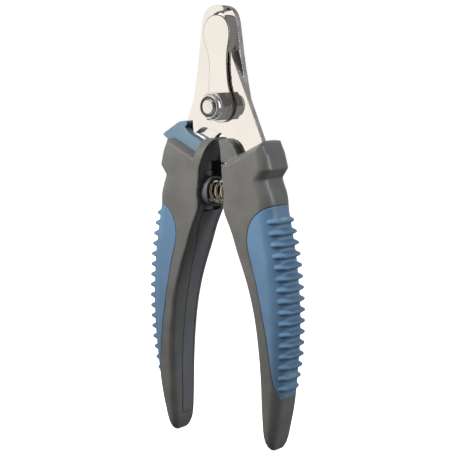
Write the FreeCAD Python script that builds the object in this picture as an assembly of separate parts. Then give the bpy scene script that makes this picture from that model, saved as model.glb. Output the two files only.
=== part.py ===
import FreeCAD, Part
import math
import os

os.makedirs("parts", exist_ok=True)
V = FreeCAD.Vector

# Scissor nail clipper, standing upright with the handles sprung open.
# Frame: +Z up along the tool, +X to the right, -Y towards the user; the
# pivot axis is the Y axis and the two blades meet in the plane Y = 0.
# All lengths in millimetres.

# ---- driving dimensions -------------------------------------------------
mirror_x = -2.0            # the two levers mirror about this X; the pivot is off it
blade_t = 2.4              # thickness of each blade
blade_gap = 0.02           # running gap between each blade and the plane Y = 0
front_notch = 4.0          # how far each cutting notch reaches past the mirror plane
rear_notch = 2.4
pivot_r = 3.0              # M6 bolt shank radius
pivot_fit = 0.05           # radial clearance of the turning holes
spacer_t = 0.35            # washer between the front blade and the guard
guard_t = 0.9              # quick guard sheet thickness
nut_flats = 10.0           # across flats
nut_hex_h = 4.5
nut_h = 6.75               # whole nut with its collar
collar_r = 4.7             # collar that holds the nylon insert
lip_r = 3.75               # opening in the collar lip
head_h = 3.6               # bolt head height
washer_r, washer_t = 6.0, 0.8
spring_z = -32.0           # height of the spring axis
coil_r = 3.75              # mean coil radius
wire_r = 0.55
spring_turns = 7.5
seat_x = 9.5               # spring seat from the mirror plane
cup_r, cup_bore = 5.7, 4.75
mouth_r, rim_x = 6.7, 8.6  # wide mouth above the right seat, and where the seat's rim starts
grip_t = 1.4               # thickness of the grip inlay
rib_pitch, rib_first = 4.07, -41.0
rib_heights = [1.2, 1.6] + [1.75] * 11 + [1.5, 1.2, 0.8]
rib_root, rib_crest = 1.65, 0.35    # half height of a rib at its root and at its crest
rib_inset = 1.2            # how far each rib stays back from the front and back faces
rib_corner = 0.55          # corner radius of a rib, as a share of the handle's
back_y = 8.0               # the flat front and back faces of the handles
seat_rim_r = 6.2           # rim of the right spring seat
seat_hole_r = 2.0
cup_floor_t = 0.9
core_back, core_front = 6.2, 4.4   # reach of the hard core each side of the joint plane
core_cover = 2.3           # what is left of the shell behind the core
core_edge = [3.8, 2.7, 1.9, 1.2, 0.7, 0.6, 0.8, 1.2, 1.6, 1.8, 1.8]   # and lower down
ear_y = 5.2                # half thickness of the raised ears
pin_r, pin_half = 1.5, 4.5  # cross pins that hold each tang in its core
pin_y = -1.1
lock_y0, lock_y1 = -3.5, -0.25

guard_back = -(blade_t + spacer_t) - 0.02
guard_front = guard_back - guard_t
nut_base = guard_front - 0.02
nut_top = nut_base - nut_h

# ---- helpers ------------------------------------------------------------


def outline(runs, y):
    """Closed wire in the plane Y = y. A run of two points is a line, a
    longer run is a smooth curve; each run starts where the last ended."""
    edges = []
    for run in runs:
        pts = [V(x, y, z) for x, z in run]
        if len(pts) == 2:
            edges.append(Part.makeLine(pts[0], pts[1]))
        else:
            curve = Part.BSplineCurve()
            curve.interpolate(pts)
            edges.append(curve.toShape())
    return Part.Wire(edges)


def plate(runs, y0, y1):
    return Part.Face(outline(runs, y0)).extrude(V(0, y1 - y0, 0))


def facing_x(runs, x0, x1):
    """Like plate, for a profile of (Y, Z) points run from x0 to x1."""
    shape = plate(runs, -x1, -x0)
    shape.rotate(V(0, 0, 0), V(0, 0, 1), 90)
    return shape


def polygon(points, y0, y1):
    runs = [[points[i], points[(i + 1) % len(points)]] for i in range(len(points))]
    return plate(runs, y0, y1)


def rod(radius, y0, y1, x=0.0, z=0.0):
    return Part.makeCylinder(radius, y1 - y0, V(x, y0, z), V(0, 1, 0))


def rod_x(radius, x0, x1, z):
    return Part.makeCylinder(radius, x1 - x0, V(x0, 0, z), V(1, 0, 0))


def hexagon(flats, y0, y1):
    r = flats / math.sqrt(3)
    pts = [(r * math.cos(math.radians(60 * i)), r * math.sin(math.radians(60 * i)))
           for i in range(6)]
    return polygon(pts, y0, y1)


def section(z, x0, x1, h, r0, r1):
    """Rounded rectangle at height z: x0..x1 across, -h..h deep, corner
    radius r0 at the x0 side and r1 at the x1 side."""
    k = 1 - math.sqrt(0.5)
    a, b, c, d = x0 + r0, x1 - r1, h - r0, h - r1
    p = [V(a, -h, z), V(b, -h, z), V(x1 - k * r1, -h + k * r1, z), V(x1, -d, z),
         V(x1, d, z), V(x1 - k * r1, h - k * r1, z), V(b, h, z), V(a, h, z),
         V(x0 + k * r0, h - k * r0, z), V(x0, c, z), V(x0, -c, z),
         V(x0 + k * r0, -h + k * r0, z)]
    edges = [Part.makeLine(p[0], p[1]), Part.Arc(p[1], p[2], p[3]).toShape(),
             Part.makeLine(p[3], p[4]), Part.Arc(p[4], p[5], p[6]).toShape(),
             Part.makeLine(p[6], p[7]), Part.Arc(p[7], p[8], p[9]).toShape(),
             Part.makeLine(p[9], p[10]), Part.Arc(p[10], p[11], p[0]).toShape()]
    return Part.Wire(edges)


def loft(rows, ruled=False):
    return Part.makeLoft([section(*row) for row in rows], True, ruled)


def at(rows, z, column):
    """Value of one column of the handle table at height z."""
    for upper, lower in zip(rows, rows[1:]):
        if lower[0] <= z <= upper[0]:
            f = (upper[0] - z) / (upper[0] - lower[0])
            return upper[column] * (1 - f) + lower[column] * f
    return rows[-1][column]


def turned(shape):
    """The left lever is the right one turned half round the Z axis."""
    copy = shape.copy()
    copy.rotate(V(0, 0, 0), V(0, 0, 1), 180)
    return copy


def moved(shape):
    """From the mirror plane of the levers to the pivot."""
    copy = shape.copy()
    copy.translate(V(mirror_x, 0, 0))
    return copy


def save(name, shape):
    if not shape.isValid():
        shape = shape.removeSplitter()
    print(name, "valid", shape.isValid(), "solids", len(shape.Solids),
          "volume %.1f" % shape.Volume)
    shape.exportStep("parts/%s.step" % name)


# ---- blades, drawn from the mirror plane --------------------------------
tang = [(20.6, -13.0), (23.0, -22.0), (21.5, -44.0), (14.5, -44.0), (13.6, -24.0),
        (5.6, -16.5), (4.6, -13.2)]


def blade(reach):
    """One blade: back edge, tip, half-moon cutting notch reaching to
    x = -reach, straight front edge, tang and hooked shoulder."""
    notch = [(3.1, 34.6), (2.8 - 0.4 * reach, 34.3), (-0.40 * reach, 33.2),
             (-0.88 * reach, 30.4), (-reach, 27.0), (-0.86 * reach, 23.6),
             (-0.34 * reach, 21.0), (2.6, 19.9)]
    runs = [
        [(-12.3, -10.3), (-12.6, -8.0), (-12.4, -0.7), (-10.9, 7.5), (-9.2, 16.8),
         (-7.8, 27.0), (-7.2, 30.8), (-6.0, 33.8), (-3.8, 35.7), (-0.6, 36.5), (1.8, 36.5)],
        [(1.8, 36.5), (2.9, 35.8), (3.1, 34.6)],
        notch,
        [(2.6, 19.9), (6.4, 19.9)],
        [(6.4, 19.9), (6.9, 17.8)],
        [(6.9, 17.8), (14.7, 0.6)],
        [(14.7, 0.6), tang[0]]]
    runs += [[tang[i], tang[i + 1]] for i in range(5)]
    runs += [[tang[5], (4.6, -13.2)],
             [(4.6, -13.2), (3.2, -11.2), (0.6, -9.9), (-1.8, -9.2), (-5.7, -8.2),
              (-7.6, -8.1), (-9.4, -8.9), (-11.4, -10.4)],
             [(-11.4, -10.4), (-12.3, -10.3)]]
    return plate(runs, -blade_t, -blade_gap)


pins = rod(pin_r, pin_y - pin_half, pin_y + pin_half, 18.0, -27.0)
pins = pins.fuse(rod(pin_r, pin_y - pin_half, pin_y + pin_half, 18.0, -39.0))
front_blade = moved(blade(front_notch).cut(pins)).cut(rod(pivot_r + pivot_fit, -4, 4))
rear_blade = moved(turned(blade(rear_notch).cut(pins))).cut(rod(pivot_r + 0.01, -4, 4))

# The rear blade is cut away below its shoulder, above the collar, where
# the lock slides past it.
lock_window = [(-24.0, -3.0), (-18.4, -7.9), (-17.2, -8.9), (-9.6, -11.7), (-8.3, -13.0),
               (-8.3, -16.4), (-24.0, -9.0)]
rear_blade = rear_blade.cut(moved(polygon(lock_window, -1, 4)))

# ---- handle solid, drawn from the mirror plane --------------------------
# height, inner x, outer x, half thickness, inner and outer corner radius
handle = [
    (-21.0, 5.0, 23.6, 8.1, 0.8, 4.8),
    (-25.5, 5.6, 23.8, 8.1, 0.8, 4.8),
    (-30.0, 6.1, 25.5, 8.1, 0.8, 5.0),
    (-35.0, 6.1, 26.9, 8.1, 0.8, 5.4),
    (-39.0, 6.5, 27.5, 8.1, 0.8, 5.8),
    (-45.0, 9.3, 28.8, 8.1, 0.9, 6.0),
    (-51.0, 11.5, 29.9, 8.1, 1.0, 6.0),
    (-57.0, 13.8, 30.9, 8.1, 1.1, 6.0),
    (-63.0, 15.9, 31.6, 7.9, 1.2, 6.0),
    (-69.0, 17.7, 32.1, 7.9, 1.4, 6.0),
    (-75.0, 19.0, 32.3, 7.8, 1.6, 5.8),
    (-85.0, 20.3, 32.0, 7.6, 1.9, 5.4),
    (-95.0, 20.9, 31.2, 7.3, 2.2, 5.0),
    (-106.0, 20.9, 29.9, 6.9, 2.6, 4.4),
    (-114.0, 20.8, 28.4, 6.6, 2.9, 3.9),
    (-120.0, 20.9, 27.0, 6.0, 2.6, 3.2),
    (-124.2, 21.7, 25.9, 4.8, 1.9, 2.2),
    (-126.4, 23.1, 24.7, 2.6, 0.7, 0.8),
]
collar = [
    (-25.8, 5.7, 23.8, 8.1, 0.8, 4.4),
    (-22.3, 5.2, 26.3, 8.1, 0.8, 4.4),
    (-17.0, 4.8, 24.9, 8.1, 0.8, 4.4),
    (-13.5, 4.8, 23.2, 8.1, 0.8, 4.4),
    (-9.0, 4.8, 22.0, 8.1, 0.8, 4.4),
]
# The top rows are a little over size and are planed to the flat faces.
planed = Part.makeBox(40.0, 2 * back_y, 140.0, V(-4.0, -back_y, -132.0))
grip_shape = loft(handle).common(planed)
collar_body = loft(collar, True).common(planed)
# Sloping top of the collar: a prism in side view that rounds its outer
# corner, and a crown along the slope that falls to the front and back.
slope = math.radians(25.56)
slope_x, slope_z = math.cos(slope), math.sin(slope)   # the lock slides this way, down
side_view = plate([[(2.0, -20.91), (19.0, -12.78)],
                   [(19.0, -12.78), (20.9, -12.3), (22.5, -13.1), (23.6, -14.9)],
                   [(23.6, -14.9), (30.0, -26.0)], [(30.0, -26.0), (30.0, -31.0)],
                   [(30.0, -31.0), (2.0, -31.0)], [(2.0, -31.0), (2.0, -20.91)]], -10, 10)
crown = [[(-8.0, -20.0), (-8.0, -3.6)], [(-8.0, -3.6), (-7.7, -2.9), (-6.9, -2.3)],
         [(-6.9, -2.3), (-2.4, -0.46), (1.5, 0.0), (5.0, -0.37), (6.8, -0.9)],
         [(6.8, -0.9), (7.7, -1.5), (8.0, -2.4)], [(8.0, -2.4), (8.0, -20.0)],
         [(8.0, -20.0), (-8.0, -20.0)]]
crown_prism = facing_x(crown, -20, 40)
crown_prism.rotate(V(0, 0, 0), V(0, 1, 0), -math.degrees(slope))
crown_prism.translate(V(8.5, 0, -17.8))
collar_body = collar_body.common(side_view).common(crown_prism)

# Cheek: the inner wall that rises beside the spring. Seen along X it is
# an arch on the back half and a shoulder on the front half, and the ear
# on the tang's face continues that shoulder.
cheek_side = plate([[(2.0, -12.2), (3.1, -17.0), (4.2, -20.0), (5.4, -23.2), (5.9, -30.0)],
                    [(5.9, -30.0), (9.0, -30.0)], [(9.0, -30.0), (8.0, -20.0)],
                    [(8.0, -20.0), (6.2, -12.6)], [(6.2, -12.6), (5.0, -12.0), (3.4, -11.9),
                                                   (2.0, -12.2)]], -9, 9)
arch_runs = [[(8.0, -30.0), (8.0, -19.0)],
             [(8.0, -19.0), (7.6, -17.0), (6.4, -14.7), (3.9, -12.8), (0.6, -11.9)],
             [(0.6, -11.9), (-4.2, -11.9)], [(-4.2, -11.9), (-5.0, -12.2), (-5.2, -13.0)],
             [(-5.2, -13.0), (-5.2, -24.0)], [(-5.2, -24.0), (-8.0, -27.0)],
             [(-8.0, -27.0), (-8.0, -30.0)], [(-8.0, -30.0), (8.0, -30.0)]]
cheek = cheek_side.common(facing_x(arch_runs, 0, 20))
ear = plate([[(2.0, -12.4), (2.5, -14.5), (3.1, -20.4), (4.0, -24.0), (5.6, -27.0)],
             [(5.6, -27.0), (13.4, -27.0)], [(13.4, -27.0), (13.4, -22.0)],
             [(13.4, -22.0), (9.4, -14.6)],
             [(9.4, -14.6), (7.7, -12.9), (5.6, -12.1), (3.4, -11.9), (2.0, -12.4)]],
            -ear_y, -blade_t)
body = grip_shape.fuse(collar_body).fuse(cheek).fuse(ear).removeSplitter()

body = body.cut(blade(front_notch))
pocket = rod_x(cup_bore, 5.0, seat_x, spring_z)
mouth = rod_x(mouth_r, 2.0, rim_x, spring_z)

# ---- split the handle into grip, core and shell -------------------------
inner_rows = [(z, x0 - 2.0, x1 - grip_t, h - grip_t, 0.4, r1 - grip_t * 0.6)
              for z, x0, x1, h, r0, r1 in handle[:-2]]
inner_rows.append((-126.0, 20.0, 23.6, 2.0, 0.3, 0.6))
inside = loft(inner_rows)
grip_runs = [
    [(36.0, -34.6), (30.0, -34.7), (26.6, -35.4), (23.6, -37.0), (20.6, -39.4),
     (18.4, -42.4), (17.4, -46.0), (17.4, -50.0), (18.9, -55.6), (21.2, -64.0),
     (23.2, -73.0), (25.2, -83.0), (26.6, -93.0), (27.6, -99.6), (28.8, -103.8),
     (30.4, -106.2), (33.0, -107.0), (36.0, -107.0)],
    [(36.0, -107.0), (36.0, -34.6)],
]
grip_zone = plate(grip_runs, -10, 10)
grip = grip_shape.common(grip_zone).cut(inside)
shell_side = body.cut(grip_shape.common(grip_zone).cut(inside))


def rib(z, height):
    """A fin round the outer side, triangular in section, that runs out to
    nothing before it reaches the front and back faces."""
    x1, h, r1 = at(handle, z, 2), at(handle, z, 3), at(handle, z, 5)
    rows = []
    crest = (x1 + height, h - rib_inset, r1 * rib_corner)
    root = (x1 - 0.1, h - rib_inset - 0.8, r1 - 0.8)
    for dz, (outer, depth, corner) in ((-rib_root, root), (-rib_crest, crest),
                                       (rib_crest, crest), (rib_root, root)):
        rows.append(section(z + dz, x1 - 7.4, outer, depth, 0.5, corner))
    fin = Part.makeLoft(rows, True, True)
    return fin.cut(inside).common(grip_zone)


ribs = [rib(rib_first - rib_pitch * i, height) for i, height in enumerate(rib_heights)]
grip = grip.multiFuse(ribs)


def core_section(z, x0, x1, y0, y1):
    """Section of the hard core, which sits round its own blade and so is
    not centred on the joint plane."""
    wire = section(z, x0, x1, (y1 - y0) / 2, 0.3, 1.6)
    wire.translate(V(0, (y0 + y1) / 2, 0))
    return wire


core_rows = [(-24.6, 3.4, 20.5), (-30.0, 4.1, 22.3), (-40.0, 4.8, 24.4)]
core_rows = [row + (-core_back, core_front) for row in core_rows]
for (z, x0, x1, h, r0, r1), y1 in zip(handle[5:16], core_edge):
    core_rows.append((z, x0 - 2.0, x1 - 3.2, -min(core_back, h - core_cover), y1))
core_zone = Part.makeLoft([core_section(*row) for row in core_rows], True, False)
channel = Part.makeBox(seat_x - 2.0, core_back + core_front - 1.2, 19.0,
                       V(2.0, -core_back + 0.6, -39.6))
core = shell_side.common(core_zone)
shell = shell_side.cut(core_zone)

# Right lever
right_core = core.cut(pins).cut(pocket).cut(mouth).cut(channel)
right_shell = shell.cut(mouth).cut(pocket).cut(channel)
seat_bed = rod_x(seat_rim_r, rim_x, seat_x + cup_floor_t, spring_z)
right_seat = seat_bed.cut(rod_x(cup_bore, rim_x, seat_x, spring_z))
right_seat = right_seat.cut(rod_x(seat_hole_r, rim_x, 12.0, spring_z))
right_core = right_core.cut(seat_bed)
right_shell = right_shell.cut(seat_bed)

# Left lever: the same parts turned half round, with the lock groove cut in
cup_wall = rod_x(cup_r, 3.6, 8.0, spring_z).cut(rod_x(cup_bore, 2.0, 8.1, spring_z))
cup_floor = rod_x(cup_r, 8.0, seat_x + cup_floor_t, spring_z)
cup_floor = cup_floor.cut(rod_x(cup_bore, 7.0, seat_x, spring_z))
cup_floor = cup_floor.cut(rod_x(seat_hole_r, 8.0, 12.0, spring_z))
cup = cup_wall.fuse(cup_floor)
cup_hole = rod_x(cup_r, 3.0, seat_x + cup_floor_t, spring_z)
left_core = turned(core.cut(pins).cut(cup_hole).cut(channel))
left_shell = turned(shell.cut(cup_hole).cut(channel))
left_cup = turned(cup)


def on_slope(t, w):
    """Point t along the collar slope and w above it, from the mirror plane."""
    return (-8.5 + slope_x * t + slope_z * w, -17.8 - slope_z * t + slope_x * w)


groove = [on_slope(-22.0, -2.95), on_slope(-11.6, -2.95), on_slope(-10.8, -1.25),
          on_slope(3.6, -1.25), on_slope(3.6, 4.8), on_slope(-22.0, 4.8)]
groove_cut = polygon(groove, lock_y0 - 0.1, 0.0)
left_shell = left_shell.cut(groove_cut)
left_core = left_core.cut(groove_cut)

# ---- lock slider --------------------------------------------------------
stem = polygon([on_slope(-13.0, -1.15), on_slope(0.5, -1.15), on_slope(0.7, 4.5),
                on_slope(-7.5, 4.3), (-15.9, -8.0), (-17.0, -10.0)], lock_y0, lock_y1)
edge_a, edge_b = (-26.8, -11.3), (-18.4, -6.4)
teeth = 9
zigzag = [edge_a]
for i in range(teeth):
    for f, lift in ((0.35, 0.45), (0.75, 0.45), (1.0, 0.0)):
        s = (i + f) / teeth
        zigzag.append((edge_a[0] + (edge_b[0] - edge_a[0]) * s - 0.5 * lift,
                       edge_a[1] + (edge_b[1] - edge_a[1]) * s + 0.87 * lift))
head = polygon(zigzag + [(-17.2, -5.9), (-15.0, -5.9), (-14.6, -6.5), (-14.7, -7.2),
                         (-15.9, -8.0), (-16.6, -13.0), on_slope(-13.0, -1.1),
                         (-22.9, -14.0)], lock_y0, lock_y1)
lock_slider = head.fuse(stem).removeSplitter()

# ---- pivot hardware -----------------------------------------------------
guard_runs = [
    [(0.0, -6.0), (4.24, -4.24), (6.0, 0.0), (5.5, 2.9), (4.2, 6.6), (3.5, 11.0),
     (3.3, 16.7), (3.7, 20.8), (4.5, 24.6), (4.6, 27.4), (3.8, 30.0), (1.9, 32.2),
     (-0.9, 33.1), (-3.6, 32.8), (-6.0, 31.2), (-7.4, 28.6), (-7.7, 25.6), (-7.0, 22.2),
     (-5.8, 19.2), (-5.2, 16.0), (-5.3, 11.0), (-5.6, 6.0), (-6.0, 0.6), (-4.24, -4.24),
     (0.0, -6.0)],
]
quick_guard = plate(guard_runs, guard_front, guard_back).cut(rod(pivot_r + pivot_fit, -9, 0))
guard_spacer = rod(5.0, guard_back + 0.02, -blade_t - 0.02)
guard_spacer = guard_spacer.cut(rod(pivot_r + 0.01, -9, 0))

rear_washer = rod(washer_r, blade_t + 0.01, blade_t + washer_t)
rear_washer = rear_washer.cut(rod(pivot_r + 0.01, 0, 9))
head_base = blade_t + washer_t
bolt_head = hexagon(nut_flats, head_base, head_base + head_h)
bolt_head = bolt_head.common(
    Part.makeCone(nut_flats * 0.5 + 3.4, nut_flats * 0.5 - 0.2, head_h,
                  V(0, head_base, 0), V(0, 1, 0)))
shank = rod(pivot_r, nut_top + 0.1, head_base)
shank = shank.fuse(Part.makeCone(pivot_r - 0.5, pivot_r, 0.5, V(0, nut_top - 0.4, 0),
                                 V(0, 1, 0)))
pivot_bolt = shank.fuse(bolt_head).removeSplitter()

nut_body = hexagon(nut_flats, nut_base - nut_hex_h, nut_base)
nut_body = nut_body.common(
    Part.makeCone(nut_flats * 0.5 - 0.1, nut_flats * 0.5 + 3.6, nut_hex_h,
                  V(0, nut_base - nut_hex_h, 0), V(0, 1, 0)))
nut_body = nut_body.fuse(rod(collar_r, nut_top, nut_base - nut_hex_h + 0.5))
insert_y0, insert_y1 = nut_top + 0.35, nut_base - nut_hex_h
nut_body = nut_body.cut(rod(pivot_r + 0.01, nut_top - 1, nut_base + 1))
nut_body = nut_body.cut(rod(lip_r, nut_top - 1, insert_y1))
nut_body = nut_body.cut(rod(collar_r - 0.45, insert_y0, insert_y1))
pivot_nut = nut_body
nylon = rod(collar_r - 0.46, insert_y0 + 0.01, insert_y1 - 0.01)
nut_nylon_insert = nylon.cut(rod(pivot_r + 0.01, nut_top - 1, nut_base + 1))

# ---- return spring, along X between the two seats -----------------------
spring_len = 2 * seat_x - 2 * wire_r - 0.1
helix = Part.makeHelix(spring_len / spring_turns, spring_len, coil_r)
profile = Part.Wire(Part.makeCircle(wire_r, V(coil_r, 0, 0), V(0, 1, 0.1)))
return_spring = Part.Wire(helix.Edges).makePipeShell([profile], True, True)
return_spring.rotate(V(0, 0, 0), V(0, 1, 0), 90)
return_spring.translate(V(-spring_len / 2, 0, spring_z))

# ---- write the nodes ----------------------------------------------------
save("front_blade", front_blade)
save("rear_blade", rear_blade)
save("quick_guard", quick_guard)
save("guard_spacer", guard_spacer)
save("rear_washer", rear_washer)
save("pivot_bolt", pivot_bolt)
save("pivot_nut", pivot_nut)
save("nut_nylon_insert", nut_nylon_insert)
save("lock_slider", moved(lock_slider))
save("return_spring", moved(return_spring))
save("left_core", moved(left_core))
save("right_core", moved(right_core))
save("left_shell", moved(left_shell))
save("right_shell", moved(right_shell))
save("left_grip", moved(turned(grip)))
save("right_grip", moved(grip))
save("left_spring_cup", moved(left_cup))
save("right_spring_seat", moved(right_seat))
save("left_tang_pins", moved(turned(pins)))
save("right_tang_pins", moved(pins))
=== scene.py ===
"""Looks of the scissor nail clipper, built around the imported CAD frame."""

import math

import bmesh
import bpy
from mathutils import Matrix, Vector


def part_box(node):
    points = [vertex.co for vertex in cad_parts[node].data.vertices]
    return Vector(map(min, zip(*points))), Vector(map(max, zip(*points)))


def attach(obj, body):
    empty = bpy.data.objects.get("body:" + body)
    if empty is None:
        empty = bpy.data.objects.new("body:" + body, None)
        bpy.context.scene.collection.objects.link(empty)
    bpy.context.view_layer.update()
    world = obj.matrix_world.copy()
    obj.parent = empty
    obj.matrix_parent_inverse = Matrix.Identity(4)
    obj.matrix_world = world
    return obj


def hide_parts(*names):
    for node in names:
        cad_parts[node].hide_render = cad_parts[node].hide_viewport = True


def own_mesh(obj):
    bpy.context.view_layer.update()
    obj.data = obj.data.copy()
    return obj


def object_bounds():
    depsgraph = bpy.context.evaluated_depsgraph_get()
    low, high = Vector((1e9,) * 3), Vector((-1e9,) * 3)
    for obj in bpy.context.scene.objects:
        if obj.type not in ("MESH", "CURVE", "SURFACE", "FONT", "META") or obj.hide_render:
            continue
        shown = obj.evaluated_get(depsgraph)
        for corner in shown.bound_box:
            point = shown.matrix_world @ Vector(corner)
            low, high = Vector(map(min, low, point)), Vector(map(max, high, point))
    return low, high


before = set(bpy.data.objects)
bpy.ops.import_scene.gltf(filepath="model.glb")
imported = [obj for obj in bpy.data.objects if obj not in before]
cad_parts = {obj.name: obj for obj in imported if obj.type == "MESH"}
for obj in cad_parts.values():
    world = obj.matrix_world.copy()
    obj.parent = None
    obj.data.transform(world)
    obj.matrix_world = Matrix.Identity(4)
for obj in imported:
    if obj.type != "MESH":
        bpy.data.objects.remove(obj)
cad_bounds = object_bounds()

MM = 0.001

# ---- driving values --------------------------------------------------------
# pieces, in millimetres
BLADE_BEVEL, GUARD_BEVEL, LOCK_BEVEL = 0.14, 0.3, 0.16
WASHER_BEVEL, BOLT_HEAD_BEVEL = 0.1, 0.12
BEVEL_SEGMENTS, BEVEL_ANGLE = 3, 28.0    # edges that turn more degrees than this are rounded
HANDLE_VOXEL, GRIP_VOXEL, SEAT_VOXEL = 0.3, 0.22, 0.12
COIL_R, WIRE_R = 3.75, 0.55
SPRING_Z = -32.0
SPRING_TURNS = 7.5
DEAD_TURNS = 0.9              # closed turns at each end of the spring
NUT_FLATS = 10.0
NUT_HEX_H = 4.5
COLLAR_R = 4.7
LIP_R = 3.75
BOLT_R = 3.0
THREAD_PITCH, THREAD_DEPTH = 1.0, 0.45
SHANK_STEP, SHANK_END = 0.05, 1.2

# camera, in metres and degrees; the lens is in millimetres
TARGET = Vector((-0.002, 0.0, -0.045))
CAMERA_AZIMUTH, CAMERA_ELEVATION = 40.0, 7.6
CAMERA_DISTANCE = 0.5
CAMERA_ROLL = 0.82
CAMERA_LENS = 105.63
AIM_RIGHT, AIM_UP = 0.00138, -0.00063

# floor: half its width and its gap below the object, in metres, and its brightness
FLOOR_HALF, FLOOR_DROP, FLOOR_GLOW = 0.7, 0.0004, 1.0

# where the upper light points, in metres
UPPER_AIM = Vector((0.018, 0.0, -0.01))

# room: azimuth and elevation of each patch, and its inner and outer reach in degrees
ROOM_COLOUR = (0.21, 0.21, 0.215)
RIGHT_AIM, RIGHT_REACH, RIGHT_COLOUR = (125.0, 8.0), (30.0, 56.0), (0.50, 0.52, 0.53)
DARK_AIM, DARK_REACH, DARK_COLOUR = (46.0, 12.0), (18.0, 40.0), (0.07, 0.07, 0.07)
SCREEN_AIM, SCREEN_REACH, SCREEN_COLOUR = (-48.0, 4.0), (36.0, 44.0), (0.97, 0.925, 0.865)


# ---- camera, light and floor -----------------------------------------------
def direction(azimuth, elevation):
    """Unit vector from the object; azimuth 0 is -Y and 90 is +X, in degrees."""
    a, e = math.radians(azimuth), math.radians(elevation)
    return Vector((math.sin(a) * math.cos(e), -math.cos(a) * math.cos(e), math.sin(e)))


def make_camera():
    data = bpy.data.cameras.new("camera")
    data.lens = CAMERA_LENS
    data.sensor_width = 36.0
    camera = bpy.data.objects.new("camera", data)
    bpy.context.scene.collection.objects.link(camera)
    away = direction(CAMERA_AZIMUTH, CAMERA_ELEVATION)
    location = TARGET + away * CAMERA_DISTANCE
    right = Vector((0, 0, 1)).cross(away).normalized()
    up = away.cross(right)
    aim = TARGET + right * AIM_RIGHT + up * AIM_UP
    turn = (location - aim).to_track_quat("Z", "Y").to_matrix().to_4x4()
    roll = Matrix.Rotation(math.radians(-CAMERA_ROLL), 4, "Z")
    camera.matrix_world = Matrix.Translation(location) @ turn @ roll
    bpy.context.scene.camera = camera


def softbox(name, azimuth, elevation, distance, width, height, power, colour,
            aim=TARGET, spread_angle=180.0, mirrored=True):
    """Area light, in metres, watts and degrees; mirrored says whether polished
    parts reflect it."""
    data = bpy.data.lights.new(name, "AREA")
    data.shape = "RECTANGLE"
    data.size, data.size_y = width, height
    data.energy = power
    data.color = colour
    data.spread = math.radians(spread_angle)
    light = bpy.data.objects.new(name, data)
    bpy.context.scene.collection.objects.link(light)
    away = direction(azimuth, elevation)
    light.location = aim + away * distance
    light.rotation_euler = away.to_track_quat("Z", "Y").to_euler()
    light.visible_glossy = mirrored


def blend_colour(nodes, links, factor, first, second):
    """Mix of two colours, each a constant or another node's output."""
    node = nodes.new("ShaderNodeMix")
    node.data_type = "RGBA"
    links.new(factor, node.inputs["Factor"])
    for socket, colour in ((node.inputs["A"], first), (node.inputs["B"], second)):
        if hasattr(colour, "is_output"):
            links.new(colour, socket)
        else:
            socket.default_value = (*colour, 1.0)
    return node.outputs["Result"]


def room_patch(nodes, links, coords, toward, inner, outer):
    """1 inside a soft round patch of the room seen in one direction, else 0."""
    facing = nodes.new("ShaderNodeVectorMath")
    facing.operation = "DOT_PRODUCT"
    facing.inputs[1].default_value = toward
    links.new(coords, facing.inputs[0])
    ramp = nodes.new("ShaderNodeMapRange")
    ramp.interpolation_type = "SMOOTHSTEP"
    ramp.inputs["From Min"].default_value = math.cos(math.radians(outer))
    ramp.inputs["From Max"].default_value = math.cos(math.radians(inner))
    links.new(facing.outputs["Value"], ramp.inputs["Value"])
    return ramp.outputs["Result"]


def make_world():
    """White for the camera. For light and mirrors: a grey room with a dark patch
    behind the camera, a paler one on the right and an ivory screen at the front left."""
    world = bpy.data.worlds.new("studio")
    bpy.context.scene.world = world
    world.use_nodes = True
    nodes, links = world.node_tree.nodes, world.node_tree.links
    nodes.clear()
    coords = nodes.new("ShaderNodeTexCoord").outputs["Generated"]
    dark = room_patch(nodes, links, coords, direction(*DARK_AIM), *DARK_REACH)
    screen = room_patch(nodes, links, coords, direction(*SCREEN_AIM), *SCREEN_REACH)
    right = room_patch(nodes, links, coords, direction(*RIGHT_AIM), *RIGHT_REACH)
    tone = blend_colour(nodes, links, right, ROOM_COLOUR, RIGHT_COLOUR)
    tone = blend_colour(nodes, links, dark, tone, DARK_COLOUR)
    tone = blend_colour(nodes, links, screen, tone, SCREEN_COLOUR)
    room = nodes.new("ShaderNodeBackground")
    links.new(tone, room.inputs["Color"])
    white = nodes.new("ShaderNodeBackground")
    white.inputs["Color"].default_value = (1.0, 1.0, 1.0, 1.0)
    path = nodes.new("ShaderNodeLightPath")
    mix = nodes.new("ShaderNodeMixShader")
    output = nodes.new("ShaderNodeOutputWorld")
    links.new(path.outputs["Is Camera Ray"], mix.inputs["Fac"])
    links.new(room.outputs[0], mix.inputs[1])
    links.new(white.outputs[0], mix.inputs[2])
    links.new(mix.outputs[0], output.inputs["Surface"])


def make_floor():
    """Plain pale floor just under the object, hidden from mirror and diffuse rays, so
    it neither shows in the steel nor lights the object from below."""
    size = FLOOR_HALF
    drop = cad_bounds[0][2] - FLOOR_DROP
    mesh = bpy.data.meshes.new("floor")
    corners = [(-size, -size, drop), (size, -size, drop), (size, size, drop), (-size, size, drop)]
    mesh.from_pydata(corners, [], [(0, 1, 2, 3)])
    floor = bpy.data.objects.new("floor", mesh)
    bpy.context.scene.collection.objects.link(floor)
    material = bpy.data.materials.new("pale_floor")
    material.use_nodes = True
    shader = material.node_tree.nodes["Principled BSDF"]
    shader.inputs["Base Color"].default_value = (0.8, 0.8, 0.8, 1.0)
    shader.inputs["Roughness"].default_value = 0.9
    shader.inputs["Specular IOR Level"].default_value = 0.0
    shader.inputs["Emission Color"].default_value = (1.0, 1.0, 1.0, 1.0)
    shader.inputs["Emission Strength"].default_value = FLOOR_GLOW
    mesh.materials.append(material)
    floor.visible_diffuse = False
    floor.visible_glossy = False


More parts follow.
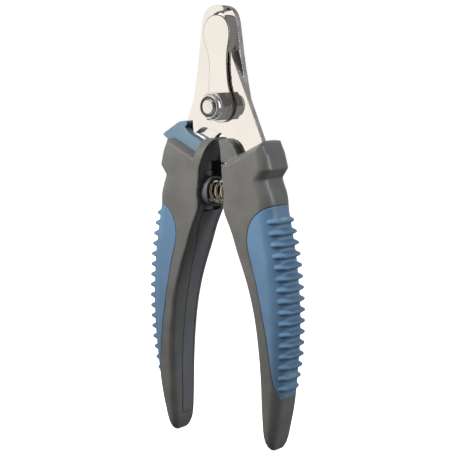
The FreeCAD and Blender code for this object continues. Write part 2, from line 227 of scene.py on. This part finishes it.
make_camera()
make_world()
make_floor()
softbox("upper", azimuth=-22, elevation=34, distance=0.2, width=0.1, height=0.1, power=0.19,
        colour=(1.0, 0.98, 0.95), aim=UPPER_AIM, spread_angle=80.0, mirrored=False)
softbox("side", azimuth=112, elevation=18, distance=0.5, width=0.1, height=0.4, power=1.35,
        colour=(0.95, 0.98, 1.0))
softbox("top", azimuth=10, elevation=75, distance=0.9, width=0.7, height=0.7, power=0.6,
        colour=(1.0, 1.0, 1.0))
softbox("back", azimuth=190, elevation=18, distance=1.0, width=0.9, height=0.8, power=1.0,
        colour=(1.0, 1.0, 1.0))
bpy.context.scene.view_settings.view_transform = "Standard"


# ---- materials -------------------------------------------------------------
def start_material(name):
    material = bpy.data.materials.new(name)
    material.use_nodes = True
    nodes = material.node_tree.nodes
    shader = nodes["Principled BSDF"]
    coords = nodes.new("ShaderNodeTexCoord")
    return material, nodes, material.node_tree.links, shader, coords.outputs["Object"]


def noise(nodes, links, coords, scale, detail=4.0, stretch=(1.0, 1.0, 1.0)):
    """A noise pattern; scale is in features per metre."""
    mapping = nodes.new("ShaderNodeMapping")
    mapping.inputs["Scale"].default_value = stretch
    texture = nodes.new("ShaderNodeTexNoise")
    texture.inputs["Scale"].default_value = scale
    texture.inputs["Detail"].default_value = detail
    links.new(coords, mapping.inputs["Vector"])
    links.new(mapping.outputs["Vector"], texture.inputs["Vector"])
    return texture.outputs["Fac"]


def spread(nodes, links, value, low, high, start=0.35, stop=0.65):
    """Maps a 0..1 pattern to low..high."""
    node = nodes.new("ShaderNodeMapRange")
    node.inputs["From Min"].default_value = start
    node.inputs["From Max"].default_value = stop
    node.inputs["To Min"].default_value = low
    node.inputs["To Max"].default_value = high
    links.new(value, node.inputs["Value"])
    return node.outputs["Result"]


def bump(nodes, links, shader, height, strength, depth):
    node = nodes.new("ShaderNodeBump")
    node.inputs["Strength"].default_value = strength
    node.inputs["Distance"].default_value = depth
    links.new(height, node.inputs["Height"])
    links.new(node.outputs["Normal"], shader.inputs["Normal"])


def steel(name, bright, dull, rough, hairline=0.04, stretch=(1.0, 1.0, 0.06)):
    """Polished metal with faint hairlines, handling haze and uneven gloss."""
    material, nodes, links, shader, coords = start_material(name)
    haze = noise(nodes, links, coords, 90.0)
    lines = noise(nodes, links, coords, 5200.0, 2.0, stretch)
    tone = spread(nodes, links, haze, 0.0, 1.0)
    links.new(blend_colour(nodes, links, tone, bright, dull), shader.inputs["Base Color"])
    patches = noise(nodes, links, coords, 260.0)
    links.new(spread(nodes, links, patches, rough[0], rough[1]), shader.inputs["Roughness"])
    shader.inputs["Metallic"].default_value = 1.0
    bump(nodes, links, shader, lines, hairline, 0.000004)
    return material


def plastic(name, dark, light, edge_dust_and_highlight, rough, grain, depth):
    """Moulded plastic: fine leather grain, mottled colour, edges painted lighter as dust and as a
    painted highlight.
    """
    material, nodes, links, shader, coords = start_material(name)
    cloud = spread(nodes, links, noise(nodes, links, coords, 120.0, 6.0), 0.0, 1.0)
    colour = blend_colour(nodes, links, cloud, dark, light)
    geometry = nodes.new("ShaderNodeNewGeometry")
    # edge mask: sharp edges painted lighter, as dust and as a painted highlight along them
    edge = spread(nodes, links, geometry.outputs["Pointiness"], 0.0, 0.6, 0.54, 0.62)
    links.new(blend_colour(nodes, links, edge, colour, edge_dust_and_highlight), shader.inputs["Base Color"])
    patches = noise(nodes, links, coords, 400.0, 3.0)
    links.new(spread(nodes, links, patches, rough[0], rough[1]), shader.inputs["Roughness"])
    shader.inputs["Specular IOR Level"].default_value = 0.5
    cells = nodes.new("ShaderNodeTexVoronoi")
    cells.inputs["Scale"].default_value = grain
    links.new(coords, cells.inputs["Vector"])
    fine = noise(nodes, links, coords, grain * 2.2, 3.0)
    height = nodes.new("ShaderNodeMath")
    height.operation = "ADD"
    links.new(cells.outputs["Distance"], height.inputs[0])
    links.new(fine, height.inputs[1])
    bump(nodes, links, shader, height.outputs["Value"], 0.5, depth)
    return material


BLADE = steel("blade_mirror", (0.93, 0.91, 0.88), (0.90, 0.88, 0.85), (0.03, 0.055), 0.004)
# side-wall steels: the rougher ground finish is real, the darker colour is painted shade on the walls
BLADE_WALL_PAINTED_SHADE = steel("blade_ground_edge_painted_shade", (0.42, 0.41, 0.39), (0.34, 0.33, 0.31), (0.22, 0.34),
                   0.12, (1.0, 0.04, 1.0))
GUARD_WALL_PAINTED_SHADE = steel("guard_edge_painted_shade", (0.50, 0.49, 0.46), (0.42, 0.41, 0.39), (0.28, 0.36), 0.1,
                   (1.0, 0.04, 1.0))
HARDWARE = steel("bright_nickel", (0.90, 0.89, 0.86), (0.80, 0.79, 0.76), (0.05, 0.11), 0.01)
SPRING_WIRE = steel("spring_wire", (0.90, 0.80, 0.67), (0.74, 0.65, 0.54), (0.12, 0.22))
PIN = steel("pin_steel", (0.6, 0.6, 0.6), (0.45, 0.45, 0.45), (0.3, 0.4))
# the third colour of each plastic is painted on its edges, as dust and as a painted highlight
SHELL = plastic("handle_black", (0.076, 0.076, 0.073), (0.098, 0.098, 0.094),
                (0.19, 0.18, 0.17), (0.30, 0.40), 2600.0, 0.00006)
CORE = plastic("core_black", (0.082, 0.082, 0.091), (0.098, 0.097, 0.107),
               (0.17, 0.17, 0.18), (0.40, 0.52), 3200.0, 0.00002)
GRIP = plastic("grip_blue", (0.076, 0.152, 0.255), (0.088, 0.172, 0.278),
               (0.22, 0.33, 0.42), (0.42, 0.55), 3600.0, 0.000012)
LOCK = plastic("lock_blue", (0.082, 0.140, 0.190), (0.095, 0.155, 0.205),
               (0.20, 0.26, 0.31), (0.36, 0.48), 3000.0, 0.00001)
NYLON = plastic("nylon_ring", (0.030, 0.036, 0.050), (0.045, 0.052, 0.068),
                (0.08, 0.09, 0.11), (0.3, 0.45), 2000.0, 0.00002)


# ---- mesh helpers; meshes are worked on in millimetres ---------------------
def new_piece(name, mesh, material, body, nodes):
    """Puts a finished mesh, still in millimetres, into the scene as a piece that
    stands in for CAD nodes. The material is for a mesh that has none yet."""
    mesh.name = name
    mesh.transform(Matrix.Scale(MM, 4))
    piece = bpy.data.objects.new(name, mesh)
    bpy.context.scene.collection.objects.link(piece)
    if not mesh.materials:
        mesh.materials.append(material)
    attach(piece, body)
    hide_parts(*nodes)
    return piece


def cad_bmesh(node):
    """A CAD node's mesh in millimetres, with its split vertices welded."""
    bm = bmesh.new()
    bm.from_mesh(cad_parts[node].data)
    bm.transform(Matrix.Scale(1 / MM, 4))
    bmesh.ops.remove_doubles(bm, verts=bm.verts, dist=0.0015)
    return bm


def to_mesh(bm):
    mesh = bpy.data.meshes.new("work")
    bm.to_mesh(mesh)
    bm.free()
    mesh.materials.clear()
    return mesh


def evaluated(mesh, modifiers):
    """The mesh with modifiers applied: a list of (type, {setting: value})."""
    work = bpy.data.objects.new("work", mesh)
    bpy.context.scene.collection.objects.link(work)
    for kind, settings in modifiers:
        modifier = work.modifiers.new(kind, kind)
        for key, value in settings.items():
            setattr(modifier, key, value)
    depsgraph = bpy.context.evaluated_depsgraph_get()
    result = bpy.data.meshes.new_from_object(work.evaluated_get(depsgraph))
    bpy.data.objects.remove(work)
    return result


def shade(mesh, angle):
    """Smooth shading, with edges sharper than the angle in degrees left hard."""
    mesh.shade_smooth()
    mesh.set_sharp_from_angle(angle=math.radians(angle))


def bevelled(bm, width):
    """Rounds every sharp edge of a mesh."""
    bmesh.ops.dissolve_limit(bm, angle_limit=math.radians(0.1), verts=bm.verts, edges=bm.edges)
    sharp = [e for e in bm.edges
             if len(e.link_faces) == 2 and e.calc_face_angle(0.0) > math.radians(BEVEL_ANGLE)]
    bmesh.ops.bevel(bm, geom=sharp, offset=width, segments=BEVEL_SEGMENTS, profile=0.5,
                    affect="EDGES", clamp_overlap=False)
    mesh = to_mesh(bm)
    mesh.shade_smooth()
    return mesh


def steel_plate(node, name, body, width, wall, wall_limit):
    """A flat steel part: CAD outline with rounded edges and flat mirror faces.
    Faces that turn further from the Y axis than wall_limit take the wall material, whose darker colour
    is painted shade on the walls."""
    mesh = bevelled(cad_bmesh(node), width)
    mesh.materials.append(BLADE)
    mesh.materials.append(wall)
    for face in mesh.polygons:
        face.material_index = 1 if abs(face.normal.y) < wall_limit else 0
    piece = new_piece(name, mesh, BLADE, body, [node])
    normals = piece.modifiers.new("normals", "WEIGHTED_NORMAL")
    normals.keep_sharp = True
    return piece


def moulded(node, name, body, material, voxel, steps):
    """A moulded part: the CAD shape with its edges softened as a mould leaves them."""
    mesh = to_mesh(cad_bmesh(node))
    mesh = evaluated(mesh, [("REMESH", {"mode": "VOXEL", "voxel_size": voxel}),
                            ("SMOOTH", {"factor": 0.5, "iterations": steps})])
    mesh.shade_smooth()
    return new_piece(name, mesh, material, body, [node])


def grid_mesh(rows, closed_rows=False):
    """Skin over rows of points; each row is a closed ring. Either the last row
    joins the first, or both ends are capped."""
    count = len(rows[0])
    points = [p for row in rows for p in row]
    faces = []
    for i in range(len(rows) - (0 if closed_rows else 1)):
        a, b = i * count, ((i + 1) % len(rows)) * count
        for j in range(count):
            k = (j + 1) % count
            faces.append((a + j, a + k, b + k, b + j))
    if not closed_rows:
        faces.append(tuple(reversed(range(count))))
        faces.append(tuple(range((len(rows) - 1) * count, len(rows) * count)))
    mesh = bpy.data.meshes.new("work")
    mesh.from_pydata(points, [], faces)
    bm = bmesh.new()
    bm.from_mesh(mesh)
    bmesh.ops.recalc_face_normals(bm, faces=bm.faces)
    bm.to_mesh(mesh)
    bm.free()
    return mesh


def joined(meshes):
    """Several meshes in one; material slots are taken from the first."""
    bm = bmesh.new()
    for mesh in meshes:
        bm.from_mesh(mesh)
    return to_mesh(bm)


def turned_ring(profile_at, count):
    """Ring about the Y axis. profile_at gives its closed (radius, y) profile at an angle."""
    rows = []
    for j in range(count):
        angle = 2 * math.pi * j / count
        rows.append([(radius * math.cos(angle), y, radius * math.sin(angle))
                     for radius, y in profile_at(angle)])
    return grid_mesh(rows, closed_rows=True)


def rounded(profile, radius):
    """Rounds the corners of a closed 2D profile."""
    steps = 4
    result = []
    n = len(profile)
    for i, point in enumerate(profile):
        here = Vector(point)
        before, after = Vector(profile[i - 1]) - here, Vector(profile[(i + 1) % n]) - here
        cut = min(radius, before.length * 0.45, after.length * 0.45)
        a, b = here + before.normalized() * cut, here + after.normalized() * cut
        for s in range(steps + 1):
            t = s / steps
            result.append(tuple((1 - t) ** 2 * a + 2 * t * (1 - t) * here + t * t * b))
    return result


# ---- blades and guard ------------------------------------------------------
steel_plate("front_blade", "front_blade_steel", "right_lever", BLADE_BEVEL, BLADE_WALL_PAINTED_SHADE, 0.3)
steel_plate("rear_blade", "rear_blade_steel", "left_lever", BLADE_BEVEL, BLADE_WALL_PAINTED_SHADE, 0.3)
steel_plate("quick_guard", "quick_guard_steel", "guard", GUARD_BEVEL, GUARD_WALL_PAINTED_SHADE, 0.97)

# ---- pivot hardware --------------------------------------------------------
nut_low, nut_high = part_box("pivot_nut")
nut_top, nut_base = nut_low.y / MM, nut_high.y / MM
hex_top = nut_base - NUT_HEX_H


def hex_radius(angle):
    """Distance from the axis to the nut's flats at an angle."""
    sector = math.pi / 3
    return NUT_FLATS / 2 / math.cos((angle % sector) - sector / 2)


def make_nut():
    """Locking nut: chamfered hexagon, stepped collar and a rolled lip."""
    chamfer_r, slope = NUT_FLATS / 2 - 0.1, 0.6
    collar = [(COLLAR_R, hex_top - 0.05), (COLLAR_R, hex_top - 0.55),
              (COLLAR_R - 0.3, hex_top - 0.75),
              (COLLAR_R - 0.3, hex_top - 0.95), (COLLAR_R - 0.12, hex_top - 1.15),
              (COLLAR_R - 0.2, nut_top + 0.45), (COLLAR_R - 0.45, nut_top + 0.08),
              (COLLAR_R - 0.65, nut_top), (LIP_R + 0.12, nut_top + 0.02), (LIP_R, nut_top + 0.18),
              (LIP_R, hex_top), (BOLT_R + 0.02, hex_top), (BOLT_R + 0.02, nut_base)]

    def profile_at(angle):
        flat_r = hex_radius(angle)
        chamfer = slope * (flat_r - chamfer_r) + 0.02
        hexagon = [(chamfer_r, nut_base), (flat_r, nut_base - chamfer),
                   (flat_r, hex_top + chamfer), (chamfer_r, hex_top)]
        return hexagon + collar

    mesh = turned_ring(profile_at, 180)
    shade(mesh, 24)
    new_piece("lock_nut", mesh, HARDWARE, "left_lever", ["pivot_nut"])


def make_nylon():
    """The nylon ring inside the nut's lip."""
    top, bottom = nut_top + 0.55, hex_top - 0.02
    profile = rounded([(BOLT_R + 0.03, bottom), (BOLT_R + 0.03, top), (LIP_R - 0.01, top),
                       (LIP_R - 0.01, bottom)], 0.15)
    mesh = turned_ring(lambda angle: profile, 120)
    shade(mesh, 60)
    new_piece("nylon_ring", mesh, NYLON, "left_lever", ["nut_nylon_insert"])


def make_bolt():
    """Bolt: the CAD head with rounded edges, and a shank with a rolled thread."""
    bm = cad_bmesh("pivot_bolt")
    geometry = bm.verts[:] + bm.edges[:] + bm.faces[:]
    bmesh.ops.bisect_plane(bm, geom=geometry, plane_co=(0, 1.0, 0), plane_no=(0, 1, 0),
                           clear_inner=True)
    rim = [e for e in bm.edges if e.is_boundary]
    bmesh.ops.holes_fill(bm, edges=rim)
    head = bevelled(bm, BOLT_HEAD_BEVEL)
    end_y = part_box("pivot_bolt")[0].y / MM
    count = 72
    rows = []
    y = end_y
    while y < SHANK_END:
        tip_r = BOLT_R - 0.75 + (y - end_y) * 1.3 + 0.12
        row = []
        for j in range(count):
            angle = 2 * math.pi * j / count
            phase = (y / THREAD_PITCH + angle / (2 * math.pi)) % 1.0
            depth = THREAD_DEPTH * (1 - min(1.0, abs(2 * phase - 1) * 1.15))
            radius = BOLT_R - (depth if y < nut_base else 0.0)
            radius = min(radius, tip_r)
            row.append((radius * math.cos(angle), y, radius * math.sin(angle)))
        rows.append(row)
        y += SHANK_STEP
    rows.insert(0, [(p[0] * 0.9, p[1], p[2] * 0.9) for p in rows[0]])
    shank = grid_mesh(rows)
    mesh = joined([head, shank])
    shade(mesh, 40)
    new_piece("pivot_bolt_steel", mesh, HARDWARE, "left_lever", ["pivot_bolt"])


def make_washer(node):
    """A flat ring on the bolt, with its edges rounded."""
    mesh = bevelled(cad_bmesh(node), WASHER_BEVEL)
    piece = new_piece(node + "_steel", mesh, HARDWARE, "left_lever", [node])
    piece.modifiers.new("normals", "WEIGHTED_NORMAL")


make_nut()
make_nylon()
make_bolt()
make_washer("rear_washer")
make_washer("guard_spacer")


# ---- return spring ---------------------------------------------------------
def make_spring():
    """Compression spring with closed end coils."""
    low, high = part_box("return_spring")
    x0, x1 = low.x / MM + WIRE_R, high.x / MM - WIRE_R
    samples_per_turn, ring = 48, 14
    total = int(SPRING_TURNS * samples_per_turn)
    closed = 2 * WIRE_R * 1.02
    open_pitch = (x1 - x0 - 2 * DEAD_TURNS * closed) / (SPRING_TURNS - 2 * DEAD_TURNS)
    rows = []
    x = x0
    for i in range(total + 1):
        turn = i / samples_per_turn
        if i:
            edge = min(turn, SPRING_TURNS - turn)
            ease = min(1.0, max(0.0, (edge - DEAD_TURNS + 0.2) / 0.4))
            x += (closed * (1 - ease) + open_pitch * ease) / samples_per_turn
        angle = 2 * math.pi * turn
        radial = Vector((0, math.cos(angle), math.sin(angle)))
        centre = Vector((x, 0, SPRING_Z)) + radial * COIL_R
        row = []
        for j in range(ring):
            a = 2 * math.pi * j / ring
            row.append(tuple(centre + WIRE_R * (radial * math.cos(a) + Vector((1, 0, 0)) * math.sin(a))))
        rows.append(row)
    shift = ((x0 + x1) - (rows[0][0][0] + rows[-1][0][0])) / 2
    rows = [[(p[0] + shift, p[1], p[2]) for p in row] for row in rows]
    mesh = grid_mesh(rows)
    shade(mesh, 50)
    spring = new_piece("return_spring_wire", mesh, SPRING_WIRE, "left_lever",
                       ["return_spring"])
    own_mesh(spring)


make_spring()

# ---- handles ---------------------------------------------------------------
for side in ("left", "right"):
    lever = side + "_lever"
    moulded(side + "_shell", side + "_handle_shell", lever, SHELL,
            HANDLE_VOXEL, 4)
    moulded(side + "_core", side + "_handle_core", lever, CORE, HANDLE_VOXEL, 3)
    moulded(side + "_grip", side + "_grip_inlay", lever, GRIP, GRIP_VOXEL, 3)
    pin_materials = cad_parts[side + "_tang_pins"].data.materials
    pin_materials.clear()
    pin_materials.append(PIN)
moulded("left_spring_cup", "left_cup_ring", "left_lever", CORE, SEAT_VOXEL, 3)
moulded("right_spring_seat", "right_seat_ring", "right_lever", CORE, SEAT_VOXEL, 3)


def make_lock():
    """The blue slider, with its edges rounded."""
    mesh = bevelled(cad_bmesh("lock_slider"), LOCK_BEVEL)
    piece = new_piece("lock_slider_blue", mesh, LOCK, "lock", ["lock_slider"])
    piece.modifiers.new("normals", "WEIGHTED_NORMAL")


make_lock()
